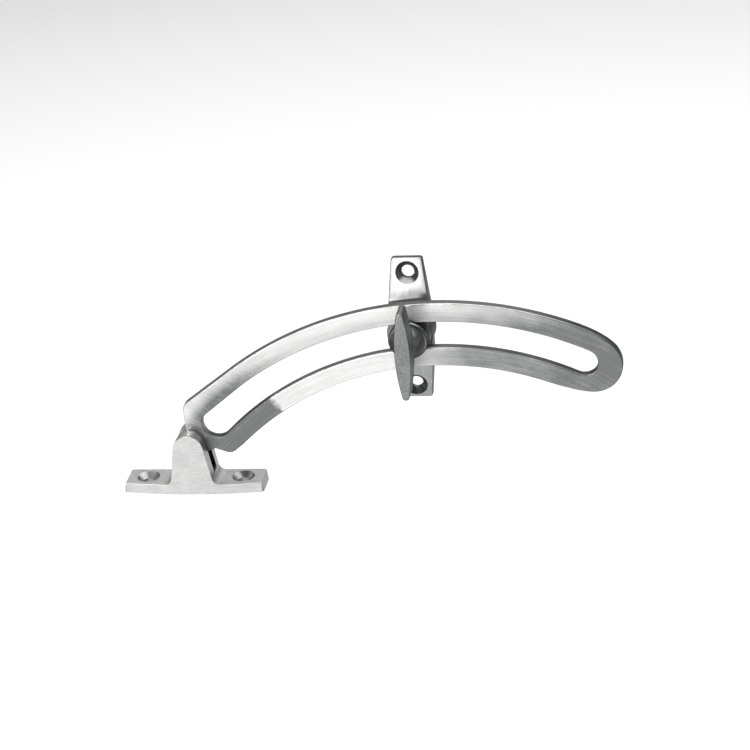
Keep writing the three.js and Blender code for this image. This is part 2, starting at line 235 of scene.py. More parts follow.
def bend(start, control, end, steps=8):
    """Points on a quadratic curve."""
    points = []
    for i in range(steps + 1):
        t = i / steps
        near, mid, far = (1 - t) ** 2, 2 * t * (1 - t), t * t
        points.append((
            near * start[0] + mid * control[0] + far * end[0],
            near * start[1] + mid * control[1] + far * end[1],
        ))
    return points


def on_arc(radius, degrees):
    """A point in X and Z on the arm's arcs, by its angle from the vertical."""
    angle = math.radians(degrees)
    return (ARC.x + radius * math.sin(angle), ARC.z + radius * math.cos(angle))


def from_vertical(degrees):
    """An angle from the vertical in degrees as one from X in radians."""
    return math.pi / 2 - math.radians(degrees)


def tidy_loop(points):
    """The outline without points that fall on the one before."""
    kept = []
    for point in points:
        if not kept or math.dist(point, kept[-1]) > 0.01:
            kept.append(point)
    if math.dist(kept[0], kept[-1]) <= 0.01:
        kept.pop()
    return kept


# ---------------------------------------------------------------- modelling

def deselect():
    """Leaves edit mode and selects nothing."""
    if bpy.context.object and bpy.context.object.mode != "OBJECT":
        bpy.ops.object.mode_set(mode="OBJECT")
    bpy.ops.object.select_all(action="DESELECT")


def only(piece):
    """Makes one object the selected and active one."""
    deselect()
    piece.select_set(True)
    bpy.context.view_layer.objects.active = piece
    return piece


def settle(piece):
    """Applies an object's place and turn to its mesh."""
    only(piece)
    bpy.ops.object.transform_apply(location=True, rotation=True, scale=True)
    return piece


def flat_piece(name, loops, low, high, along="Y", rounded=0.0):
    """A filled outline drawn as a flat curve, thickened between two planes, as a mesh."""
    deselect()
    bpy.ops.curve.primitive_bezier_circle_add(radius=MM)
    piece = bpy.context.object
    piece.name = name
    curve = piece.data
    curve.splines.clear()
    for loop in loops:
        points = tidy_loop(loop)
        spline = curve.splines.new("POLY")
        spline.points.add(len(points) - 1)
        for point, (u, v) in zip(spline.points, points):
            point.co = (u * MM, v * MM, 0, 1)
        spline.use_cyclic_u = True
    curve.dimensions = "2D"
    curve.fill_mode = "BOTH"
    curve.bevel_depth = rounded
    curve.bevel_resolution = 3
    curve.offset = -rounded
    curve.extrude = (high - low) * MM / 2 - rounded
    middle = (low + high) * MM / 2
    if along == "Y":
        piece.rotation_euler = (math.pi / 2, 0, 0)
        piece.location.y = middle
    elif along == "X":
        piece.rotation_euler = (math.pi / 2, 0, math.pi / 2)
        piece.location.x = middle
    else:
        piece.location.z = middle
    only(piece)
    bpy.ops.object.convert(target="MESH")
    settle(piece)
    return clean(piece)


def clean(piece):
    """Welds the mesh, joins its flat faces and turns its faces outwards."""
    only(piece)
    bpy.ops.object.mode_set(mode="EDIT")
    bpy.ops.mesh.select_all(action="SELECT")
    bpy.ops.mesh.remove_doubles(threshold=WELD)
    bpy.ops.mesh.dissolve_limited(angle_limit=FLAT)
    bpy.ops.mesh.select_all(action="SELECT")
    bpy.ops.mesh.normals_make_consistent(inside=False)
    bpy.ops.object.mode_set(mode="OBJECT")
    return piece


def turned(name, profile, centre, axis="Y"):
    """A solid of revolution: a circle drawn out from station to station, then capped.

    profile is a list of (radius, place along the axis) in millimetres, both ends open rings.
    """
    deselect()
    first_radius, first_place = profile[0]
    bpy.ops.mesh.primitive_circle_add(
        vertices=sized().turn_steps, radius=first_radius * MM, fill_type="NGON",
        location=(0, 0, first_place * MM))
    piece = bpy.context.object
    piece.name = name
    settle(piece)
    bpy.ops.object.mode_set(mode="EDIT")
    bpy.ops.mesh.select_all(action="SELECT")
    radius, height = first_radius, first_place
    for next_radius, next_height in profile[1:]:
        bpy.ops.mesh.extrude_region_move(
            TRANSFORM_OT_translate={"value": (0, 0, (next_height - height) * MM)})
        factor = next_radius / radius
        bpy.ops.transform.resize(value=(factor, factor, 1), center_override=(0, 0, next_height * MM))
        radius, height = next_radius, next_height
    bpy.ops.mesh.select_all(action="SELECT")
    bpy.ops.mesh.remove_doubles(threshold=WELD)
    bpy.ops.mesh.normals_make_consistent(inside=False)
    bpy.ops.object.mode_set(mode="OBJECT")
    if axis == "Y":
        piece.rotation_euler = (-math.pi / 2, 0, 0)
    piece.location = (centre[0] * MM, centre[1] * MM, centre[2] * MM)
    return settle(piece)


def block(name, low, high):
    """A box between two corners in millimetres."""
    deselect()
    middle = [(a + b) * MM / 2 for a, b in zip(low, high)]
    bpy.ops.mesh.primitive_cube_add(size=1, location=middle)
    piece = bpy.context.object
    piece.name = name
    piece.scale = [(b - a) * MM for a, b in zip(low, high)]
    return settle(piece)


def combine(piece, tool, operation):
    """Cuts, joins or intersects piece with tool, and uses the tool up."""
    only(piece)
    cut = piece.modifiers.new("cut", "BOOLEAN")
    cut.operation = operation
    cut.solver = "EXACT"
    cut.object = tool
    bpy.ops.object.modifier_apply(modifier=cut.name)
    bpy.data.objects.remove(tool)
    return clean(piece)


def cut(piece, tool):
    """Takes tool out of piece."""
    return combine(piece, tool, "DIFFERENCE")


def soften(piece, radius, overlap=True):
    """Rounds every edge sharper than 32 degrees, before any holes are cut.

    With overlap every edge gets the full radius. Without it they all shrink until the radius
    fits the piece's shortest edge.
    """
    only(piece)
    edge = piece.modifiers.new("edge", "BEVEL")
    edge.width = radius
    edge.segments = 3
    edge.limit_method = "ANGLE"
    edge.angle_limit = math.radians(32)
    edge.miter_outer = "MITER_ARC"
    edge.use_clamp_overlap = not overlap
    bpy.ops.object.modifier_apply(modifier=edge.name)
    return clean(piece)


def shade(piece):
    """Smooths the rounded edges and keeps the flats flat in the light."""
    only(piece)
    bpy.ops.object.shade_smooth_by_angle(angle=math.radians(40))
    light = piece.modifiers.new("light", "WEIGHTED_NORMAL")
    light.keep_sharp = True
    light.weight = 80
    bpy.ops.object.modifier_apply(modifier=light.name)
    return piece


def finish_piece(piece, material, body, nodes):
    """Gives a piece its material and its body, and has it replace its CAD nodes."""
    piece.data.materials.clear()
    piece.data.materials.append(material)
    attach(piece, body)
    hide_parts(*nodes)
    return piece


def sink_cutter(name, centre, axis, face, far):
    """A cutter for a countersunk hole: its wide mouth is at face and it runs through to far."""
    way = 1 if far > face else -1
    deep = SINK_R - SCREW_R
    profile = [
        (SINK_R, face - 2 * PAST * way), (SINK_R, face),
        (SCREW_R, face + deep * way), (SCREW_R, far + PAST * way)]
    return turned(name, profile, centre, axis)


# ---------------------------------------------------------------- materials

def node(tree, kind, settings=None, inputs=None):
    """Adds a shader node with its settings; an input is a value or another node's socket."""
    made = tree.nodes.new(kind)
    for key, value in (settings or {}).items():
        setattr(made, key, value)
    for key, value in (inputs or {}).items():
        if isinstance(value, bpy.types.NodeSocket):
            tree.links.new(value, made.inputs[key])
        else:
            made.inputs[key].default_value = value
    return made


def new_material(name):
    """An empty material and its node tree."""
    material = bpy.data.materials.new(name)
    material.use_nodes = True
    tree = material.node_tree
    tree.nodes.clear()
    return material, tree


def maths(tree, operation, a, b=0.0, clamp=False):
    """One sum on one or two values."""
    settings = {"operation": operation, "use_clamp": clamp}
    return node(tree, "ShaderNodeMath", settings, {0: a, 1: b}).outputs[0]


def ramp(tree, value, low, high, to_low=0.0, to_high=1.0, smooth=True):
    """Maps a value from one range to another, held at both ends."""
    kind = "SMOOTHSTEP" if smooth else "LINEAR"
    return node(tree, "ShaderNodeMapRange", {"interpolation_type": kind}, {
        "Value": value, "From Min": low, "From Max": high, "To Min": to_low, "To Max": to_high,
    }).outputs[0]


def spread(tree, value, low, high):
    """Stretches a noise over a range."""
    return ramp(tree, value, NOISE_LOW, NOISE_HIGH, low, high, smooth=False)


def noise(tree, vector, scale, detail=3.0):
    """Cloudy noise from about NOISE_LOW to NOISE_HIGH."""
    return node(tree, "ShaderNodeTexNoise", None, {
        "Vector": vector, "Scale": scale, "Detail": detail, "Roughness": 0.55,
    }).outputs["Fac"]


def place_on_piece(tree):
    """The place on the piece in metres, in the piece's own frame."""
    return node(tree, "ShaderNodeTexCoord").outputs["Object"]


def parts_of(tree, vector):
    """A vector's X, Y and Z."""
    return node(tree, "ShaderNodeSeparateXYZ", None, {0: vector}).outputs


def straight_brush(tree, angle, across_mm, along_mm):
    """Coordinates of a belt's scratches: fine across and long along a direction in X and Z.

    across_mm and along_mm are the sizes of the noise that draws them.
    """
    place_on = place_on_piece(tree)
    across = 1 / (across_mm * MM)
    along = 1 / (along_mm * MM)
    size = (along, across, across)
    turned_on = node(tree, "ShaderNodeMapping", {"vector_type": "POINT"}, {
        "Vector": place_on, "Rotation": (0, angle, 0)}).outputs[0]
    return node(tree, "ShaderNodeMapping", None, {"Vector": turned_on, "Scale": size}).outputs[0]


def polar(tree):
    """The distance from the arc's centre, the angle from the vertical and the depth along Y."""
    local = node(tree, "ShaderNodeVectorMath", {"operation": "SUBTRACT"}, {
        0: place_on_piece(tree), 1: (ARC.x * MM, 0, ARC.z * MM)}).outputs[0]
    x, y, z = parts_of(tree, local)
    flat = node(tree, "ShaderNodeCombineXYZ", None, {0: x, 2: z}).outputs[0]
    radius = node(tree, "ShaderNodeVectorMath", {"operation": "LENGTH"}, {0: flat}).outputs["Value"]
    return radius, maths(tree, "ARCTAN2", x, z), y


def world_direction(tree, vector):
    """An object-space direction turned with the piece as it moves."""
    settings = {"vector_type": "VECTOR", "convert_from": "OBJECT", "convert_to": "WORLD"}
    return node(tree, "ShaderNodeVectorTransform", settings, {0: vector}).outputs[0]


def away_from(tree, direction, start, end, most=1.0):
    """How far a face turns away from a direction: 0 to the first cosine, most past the second."""
    facing = node(tree, "ShaderNodeTexCoord").outputs["Normal"]
    cosine = node(tree, "ShaderNodeVectorMath", {"operation": "DOT_PRODUCT"}, {
        0: facing, 1: direction}).outputs["Value"]
    return ramp(tree, cosine, start, end, 0.0, most)


def drilled(tree, holes, plane):
    """1 inside the mouths of two holes and 0 outside, from their centres in a plane."""
    parts = parts_of(tree, place_on_piece(tree))
    flat = node(tree, "ShaderNodeCombineXYZ", None, {
        0: parts[plane[0]], 1: parts[plane[1]]}).outputs[0]
    mouths = []
    for u, v in holes:
        centre = (u * MM, v * MM, 0)
        far = node(tree, "ShaderNodeVectorMath", {"operation": "DISTANCE"}, {
            0: flat, 1: centre}).outputs["Value"]
        mouths.append(ramp(tree, far, (SINK_R + 0.1) * MM, (SINK_R - 0.1) * MM))
    return maths(tree, "MAXIMUM", *mouths)


def satin_shader(tree, scratches, tone, grain=0.5, gloss=0.34, tangent=None, stretch=0.0,
                 sides=0.9, front=(0, -1, 0), painted_dark=0.0):
    """Satin plating: the linished front is bright, and painted shade greys the sides.

    The belt's scratches streak its colour and gloss, clouds and flecks break up the plating, and tone
    greys it all over and where shade is painted. A painted dark line shades the edges that face
    sideways or down, and the dark colour paints shade wherever else it is asked for.
    """
    shades = colours()
    place_on = place_on_piece(tree)
    patches = noise(tree, place_on, 1 / (7 * MM))
    specks = noise(tree, place_on, 1 / (0.6 * MM), 2.0)
    # Painted shade: faces that turn away from the front are greyed, as much as sides asks.
    painted_side_shade = maths(tree, "MULTIPLY", away_from(tree, front, 0.7, 0.35), sides)
    base = maths(tree, "MAXIMUM", tone, painted_side_shade)
    marks = spread(tree, scratches, -0.2 * grain, 0.2 * grain)
    marks = maths(tree, "ADD", marks, spread(tree, patches, -0.06, 0.06))
    marks = maths(tree, "ADD", marks, spread(tree, specks, -0.05, 0.05))
    colour = node(tree, "ShaderNodeMix", {"data_type": "RGBA"}, {
        "Factor": maths(tree, "ADD", base, marks, clamp=True),
        6: linear(shades.satin), 7: linear(shades.satin_grey_and_shade)}).outputs[2]
    # Painted shade: a dark line along the edges that face sideways or down, and the dark colour
    # wherever the caller asks for it.
    past_front = away_from(tree, (0, -1, 0), 0.96, 0.8)
    edges = maths(tree, "MULTIPLY", past_front, away_from(tree, (0, 1, 0), -0.15, -0.4))
    edges = maths(tree, "MULTIPLY", edges, away_from(tree, (0, 0, 1), 0.35, 0.1, 0.8))
    colour = node(tree, "ShaderNodeMix", {"data_type": "RGBA"}, {
        "Factor": maths(tree, "MAXIMUM", edges, painted_dark),
        6: colour, 7: linear(shades.dark)}).outputs[2]
    bump = node(tree, "ShaderNodeBump", None, {
        "Strength": 0.6, "Distance": 0.02 * MM, "Height": spread(tree, scratches, 0, 1)}).outputs[0]
    bump = node(tree, "ShaderNodeBump", None, {
        "Strength": 0.35, "Distance": 0.35 * MM, "Height": patches, "Normal": bump}).outputs[0]
    inputs = {
        "Base Color": colour, "Metallic": 1.0, "Normal": bump,
        "Roughness": spread(tree, scratches, gloss - 0.06, gloss + 0.06),
        "Anisotropic": stretch, "Specular Tint": EDGE_TINT,
    }
    if tangent is not None:
        inputs["Tangent"] = tangent
    shader = node(tree, "ShaderNodeBsdfPrincipled", None, inputs)
    node(tree, "ShaderNodeOutputMaterial", None, {"Surface": shader.outputs[0]})


def arm_satin():
    """Satin plated cast brass, linished along the arm on a belt and across it at the neck.

    The belt leaves fine scratches that follow the arc, so the arm glows where they lie square to the
    light. Painted shade greys the lower rail beside the heel and under the stud, the far end, and the
    upper rail along the slot and near the neck; it is in the material and turns with the arm.
    """
    material, tree = new_material("satin_plated_arm")
    radius, angle, depth = polar(tree)
    run = maths(tree, "MULTIPLY", angle, ARC_MIDDLE_R * MM)
    follow = node(tree, "ShaderNodeCombineXYZ", None, {
        0: maths(tree, "MULTIPLY", run, 1 / (14 * MM)),
        1: maths(tree, "MULTIPLY", radius, 1 / (0.4 * MM)),
        2: maths(tree, "MULTIPLY", depth, 1 / (0.4 * MM))}).outputs[0]
    rail_lines = noise(tree, follow, 1.0, 4.0)
    neck_lines = noise(tree, straight_brush(tree, math.radians(-25), 0.45, 5), 1.0, 4.0)
    ragged = noise(tree, place_on_piece(tree), 1 / (4 * MM), 2.0)
    ragged_angle = maths(tree, "MULTIPLY_ADD", ragged, math.radians(3.0))
    tree.links.new(angle, ragged_angle.node.inputs[2])

    def by_angle(start, end, low, high, smooth=True, on=ragged_angle):
        return ramp(tree, on, math.radians(start), math.radians(end), low, high, smooth)

    def by_radius(start, end, low, high):
        return ramp(tree, radius, start * MM, end * MM, low, high)

    slot_middle = (SLOT_OUTER_R + SLOT_INNER_R) / 2
    upper = by_radius(slot_middle - 1, slot_middle + 1, 0.0, 1.0)
    lower = maths(tree, "SUBTRACT", 1.0, upper)
    neck = maths(tree, "MULTIPLY", upper, by_angle(-28, -36, 0.0, 1.0))
    scratches = node(tree, "ShaderNodeMix", {"data_type": "FLOAT"}, {
        0: neck, 2: rail_lines, 3: neck_lines}).outputs[0]

    # Painted shade: these tones grey the lower rail beside the heel, the far end, the lower rail under
    # the stud, and the upper rail towards the slot and near the neck.
    heel = maths(tree, "MULTIPLY", lower, by_angle(-31.2, -32.8, 0.0, 0.92))
    far = by_angle(-1, 24, 0.06, 0.97, smooth=False)
    under = maths(tree, "MULTIPLY", lower, by_angle(-7, 7, 0.1, 0.85, smooth=False))
    inward = maths(tree, "MULTIPLY", upper, by_radius(124, 118.8, 0.0, 0.3))
    near_neck = maths(
        tree, "MULTIPLY", by_angle(-22, -42, 0.0, 0.75), by_angle(-49, -45, 0.2, 1.0, on=angle))
    toward_slot = maths(tree, "MULTIPLY", near_neck, by_radius(125.5, 120, 0.25, 1.0))
    shaded = maths(tree, "ADD", inward, maths(tree, "MULTIPLY", toward_slot, upper))
    tone = maths(tree, "ADD", heel, shaded)
    tone = maths(tree, "ADD", maths(tree, "MAXIMUM", far, under), tone, clamp=True)

    tangent = node(tree, "ShaderNodeCombineXYZ", None, {
        0: maths(tree, "COSINE", angle),
        2: maths(tree, "MULTIPLY", maths(tree, "SINE", angle), -1.0)}).outputs[0]
    tangent = world_direction(tree, tangent)
    satin_shader(tree, scratches, tone, tangent=tangent, stretch=0.6, sides=0.6)
    return material


def belt_satin(name, angle, dull, grain, stretch=0.4, along=9, across=0.4, gloss=0.34, sides=0.9,
               front=(0, -1, 0), shading=None):
    """Satin plated cast brass, linished one way on a belt: long fine scratches in one direction.

    dull is how grey it is all over; shading takes the node tree and gives painted shade: a tone to add
    to that, and where to paint the dark colour.
    """
    material, tree = new_material(name)
    scratches = noise(tree, straight_brush(tree, -angle, across, along), 1.0, 4.0)
    # shading gives painted shade: a grey tone and where the dark colour goes.
    greyer, painted_dark = shading(tree) if shading else (0.0, 0.0)
    tone = maths(tree, "ADD", greyer, dull)
    direction = node(tree, "ShaderNodeCombineXYZ", None, {
        0: math.cos(angle), 1: 0.0, 2: math.sin(angle)}).outputs[0]
    direction = world_direction(tree, direction)
    satin_shader(tree, scratches, tone, grain, gloss, direction, stretch, sides, front, painted_dark)
    return material


def base_satin():
    """The base: linished across the front and over the top.

    Painted shade darkens its countersinks and its fork slot, and greys the faces that don't face up.
    """
    def shading(tree):
        # Painted shade: dark in the countersinks and the fork slot, and grey on the faces that don't
        # face up.
        holes = drilled(tree, [(side * BASE_HOLE_X, 0) for side in (-1, 1)], (0, 1))
        _, depth, height = parts_of(tree, place_on_piece(tree))
        cheek = FORK_SLOT / 2
        inside = ramp(
            tree, maths(tree, "ABSOLUTE", depth), (cheek + 0.3) * MM, (cheek + 0.05) * MM)
        above_plate = ramp(tree, height, (PLATE + 2) * MM, (PLATE + 3) * MM)
        under_pin = ramp(tree, height, (PIVOT.z + 1) * MM, (PIVOT.z - 3) * MM)
        fork = maths(tree, "MULTIPLY", inside, maths(tree, "MULTIPLY", above_plate, under_pin))
        painted_dark = maths(tree, "MAXIMUM", maths(tree, "MULTIPLY", holes, 0.5), fork)
        return away_from(tree, (0, 0, 1), 0.8, 0.2, 0.35), painted_dark

    return belt_satin(
        "satin_plated_base", 0.0, dull=0.05, grain=0.5, along=4, across=0.5, sides=0.5,
        front=(0, -1, 1), shading=shading)


def clamp_satin():
    """The clamp: linished up and down.

    Painted shade greys it below the boss, in the cove over it and along the lugs' rims, and darkens
    its countersinks and a line along the lugs' edges.
    """
    def shading(tree):
        holes = drilled(
            tree, [(STUD.x, STUD.z + side * CLAMP_HOLE_Z) for side in (-1, 1)], (0, 2))
        x, _, height = parts_of(tree, place_on_piece(tree))
        cove_z = STUD.z + COVE_Z
        # Painted shade: grey below the boss, in the cove over it and along the lugs' rims; dark lines
        # at the lugs' edges and in the countersinks.
        below = ramp(tree, height, (STUD.z + 2) * MM, (STUD.z - 12) * MM, 0.0, 0.8)
        cove = ramp(tree, height, cove_z * MM, (cove_z + 3) * MM, 0.5, 0.0)
        off_middle = maths(tree, "ABSOLUTE", maths(tree, "SUBTRACT", x, STUD.x * MM))
        half = ramp(
            tree, height, cove_z * MM, CLAMP_HIGH.z * MM,
            CLAMP_MID_HALF * MM, CLAMP_END_HALF * MM, smooth=False)
        inside = maths(tree, "SUBTRACT", half, off_middle)
        rim = ramp(tree, inside, 2.4 * MM, 0.3 * MM, 0.0, 0.7)
        line = ramp(tree, inside, 0.6 * MM, 0.2 * MM, 0.0, 0.6)
        tone = maths(tree, "MAXIMUM", maths(tree, "MAXIMUM", below, cove), rim)
        return tone, maths(tree, "MAXIMUM", maths(tree, "MULTIPLY", holes, 0.6), line)

    return belt_satin("satin_plated_clamp", math.radians(82), dull=0.0, grain=0.4, shading=shading)


def turned_steel():
    """Plain turned steel: a fine broken grain, greyer than the plating."""
    material, tree = new_material("turned_steel")
    lines = noise(tree, place_on_piece(tree), 1 / (0.6 * MM))
    colour = node(tree, "ShaderNodeMix", {"data_type": "RGBA"}, {
        "Factor": lines, 6: linear(colours().steel), 7: linear(colours().satin_grey_and_shade)}).outputs[2]
    rough = ramp(tree, lines, NOISE_LOW, NOISE_HIGH, 0.28, 0.42)
    bump = node(tree, "ShaderNodeBump", None, {
        "Strength": 0.4, "Distance": 0.02 * MM, "Height": lines}).outputs[0]
    shader = node(tree, "ShaderNodeBsdfPrincipled", None, {
        "Base Color": colour, "Metallic": 1.0, "Roughness": rough, "Normal": bump})
    node(tree, "ShaderNodeOutputMaterial", None, {"Surface": shader.outputs[0]})
    return material


# ---------------------------------------------------------------- the arm

def arm_loops():
    """The arm's outline, its slot and its eye, as loops in X and Z."""
    steps = sized().arc_steps
    neck_x = PIVOT.x + NECK_LEFT
    straight = on_arc(ARM_OUTER_R, STRAIGHT_ANGLE)
    slope = math.radians(-STRAIGHT_ANGLE)
    corner_z = straight[1] - (straight[0] - neck_x) * math.tan(slope)
    cut_back = 1.9
    tip = on_arc(TIP_CENTRE_R, TIP_ANGLE)
    fall, fall_slope = on_arc(ARM_OUTER_R, FALL_ANGLE), math.radians(FALL_ANGLE)
    tip_start = (tip[0] + TIP_R * math.sqrt(0.5), tip[1] + TIP_R * math.sqrt(0.5))
    fall_run = (sum(tip_start) - sum(fall)) / (math.cos(fall_slope) - math.sin(fall_slope))
    fall_turn = (fall[0] + fall_run * math.cos(fall_slope), fall[1] - fall_run * math.sin(fall_slope))
    blend = on_arc(ARM_INNER_R, BLEND_ANGLE)
    under_tip = tip[1] - TIP_R
    run = (blend[1] - under_tip) / math.tan(math.radians(BLEND_ANGLE))
    heel = (PIVOT.x + 14.2, PIVOT.z - 2.8)
    centre = (ARC.x, ARC.z)

    outline = arc(centre, ARM_OUTER_R, from_vertical(STRAIGHT_ANGLE), from_vertical(FALL_ANGLE), steps)
    outline += bend(fall, fall_turn, tip_start, 20)
    outline += arc(tip, TIP_R, math.pi / 4, -math.pi / 2, 28)
    outline += bend((tip[0], under_tip), (blend[0] + run, under_tip), blend, 16)
    outline += arc(centre, ARM_INNER_R, from_vertical(BLEND_ANGLE), from_vertical(HEEL_ANGLE), steps)
    outline += bend((heel[0] + 2, heel[1] + 1.7), heel, (heel[0] - 2, heel[1] + 1))
    outline += [(PIVOT.x + 8.6, PIVOT.z - 0.5)]
    outline += arc((PIVOT.x, PIVOT.z), EYE_R, -0.4, -math.pi - 0.5, 28)
    outline += bend(outline[-1], (neck_x, PIVOT.z + 4.4), (neck_x, PIVOT.z + 7.5))
    outline += bend(
        (neck_x, corner_z - cut_back),
        (neck_x, corner_z),
        (neck_x + cut_back * math.cos(slope), corner_z + cut_back * math.sin(slope)))

    slot_r = (SLOT_OUTER_R + SLOT_INNER_R) / 2
    slot_half = (SLOT_OUTER_R - SLOT_INNER_R) / 2
    right, left = from_vertical(SLOT_RIGHT), from_vertical(SLOT_LEFT)
    slot = arc(centre, SLOT_OUTER_R, from_vertical(STRAIGHT_ANGLE), right, steps)
    slot += arc(on_arc(slot_r, SLOT_RIGHT), slot_half, right, right - math.pi, 20)
    slot += arc(centre, SLOT_INNER_R, right, left, steps)
    left_end = on_arc(SLOT_INNER_R + SLOT_LEFT_R, SLOT_LEFT)
    slot += arc(left_end, SLOT_LEFT_R, left - math.pi, left - 2 * math.pi, 24)
    eye = arc((PIVOT.x, PIVOT.z), PIN_R + 0.3, 0, 2 * math.pi, 32)
    return [outline, slot, eye]


class StayArm(bpy.types.Operator):
    """Model the slotted quadrant arm"""

    bl_idname = "stay.arm"
    bl_label = "Quadrant Arm"

    def execute(self, context):
        arm = flat_piece(
            "quadrant_arm_satin", arm_loops(), ARM_LOW.y, ARM_HIGH.y, rounded=sized().arm_edge)
        finish_piece(shade(arm), arm_satin(), "arm", ["quadrant_arm"])
        return {"FINISHED"}


# ---------------------------------------------------------------- the base bracket and its pin

def base_plan():
    """The plate from above, with its bowed front, as a loop in X and Y."""
    half, back = BASE_HIGH.x, BASE_HIGH.y
    front = BASE_LOW.y + PLATE_BOW
    corner = PLATE_CORNER
    plan = bend((-half + corner, back), (-half, back), (-half, back - corner), 5)
    plan += bend((-half, front + corner), (-half, front), (-half + corner, front), 5)
    plan += bend((-half + corner, front), (0, front - 2 * PLATE_BOW), (half - corner, front), 32)
    plan += bend((half - corner, front), (half, front), (half, front + corner), 5)
    plan += bend((half, back - corner), (half, back), (half - corner, back), 5)
    return plan


def base_profile():
    """The base's front view, plate and ears, as a loop in X and Z."""
    half = BASE_HIGH.x
    run = (EAR_FOOT - EAR_Z) * math.sin(EAR_TAPER)
    foot_x = (EAR_R - run) / math.cos(EAR_TAPER)
    top_x = half - END_DRAFT
    profile = [(-half, 0), (half, 0), (top_x, PLATE)]
    profile += bend((EAR_FOOT_X, PLATE), (foot_x + 0.4, PLATE), (foot_x, EAR_FOOT))
    profile += arc((0, EAR_Z), EAR_R, EAR_TAPER, math.pi - EAR_TAPER, 28)
    profile += bend((-foot_x, EAR_FOOT), (-foot_x - 0.4, PLATE), (-EAR_FOOT_X, PLATE))
    profile += [(-top_x, PLATE)]
    return profile


class StayBase(bpy.types.Operator):
    """Model the forked base bracket and the pin in its ears"""

    bl_idname = "stay.base"
    bl_label = "Base Bracket and Pin"

    def execute(self, context):
        low, high = BASE_LOW, BASE_HIGH
        base = flat_piece("base_bracket_satin", [base_profile()], low.y - PAST, high.y + PAST)
        column = flat_piece("column", [base_plan()], -PAST, high.z + PAST, along="Z")
        base = soften(combine(base, column, "INTERSECT"), 1.5 * sized().cast_edge, overlap=False)
        slot = block("slot", (-12, -FORK_SLOT / 2, FORK_FLOOR), (12, FORK_SLOT / 2, high.z + 5))
        base = cut(base, slot)
        for side in (-1, 1):
            base = cut(base, sink_cutter("sink", (side * BASE_HOLE_X, 0, 0), "Z", PLATE, -1))
        axis, bore_r = (PIVOT.x, 0, PIVOT.z), PIN_R + PIN_FIT
        base = cut(base, turned("bore", [(bore_r, PIN_LOW.y), (bore_r, high.y + PAST)], axis))
        finish_piece(shade(base), base_satin(), "base", ["base_bracket"])

        pin = turned("pivot_pin_steel", [
            (PIN_R - PIN_EDGE, PIN_LOW.y), (PIN_R, PIN_LOW.y + PIN_EDGE),
            (PIN_R, PIN_HIGH.y - PIN_EDGE), (PIN_R - PIN_EDGE, PIN_HIGH.y)], axis)
        finish_piece(shade(pin), turned_steel(), "base", ["pivot_pin"])
        return {"FINISHED"}


# ---------------------------------------------------------------- the clamp bracket and its stud

def clamp_profile():
    """The clamp's side view, as a loop in Y and Z."""
    back, half = CLAMP_HIGH.y, (CLAMP_HIGH.z - CLAMP_LOW.z) / 2
    face = CLAMP_LOW.y + 0.2
    upper = [(back, half), (LUG_END, half), (LUG_ROOT, COVE_Z)]
    upper += bend((LUG_ROOT, COVE_Z), (LUG_ROOT - 0.4, BOSS_R + 1.2), (face, BOSS_R))
    lower = [(y, -z) for y, z in reversed(upper)]
    return [(y, z + STUD.z) for y, z in upper + lower]


def clamp_face():
    """The clamp's front view without its boss, as a loop in X and Z."""
    half, end = (CLAMP_HIGH.z - CLAMP_LOW.z) / 2, CLAMP_END_HALF
    side = [(CLAMP_MID_HALF, 0), (CLAMP_MID_HALF, BOSS_R)]
    side += bend((end, half - LUG_CORNER), (end, half), (end - LUG_CORNER, half), 6)
    top = side + [(-x, z) for x, z in reversed(side)]
    whole = top + [(-x, -z) for x, z in top]
    return [(x + STUD.x, z + STUD.z) for x, z in whole]


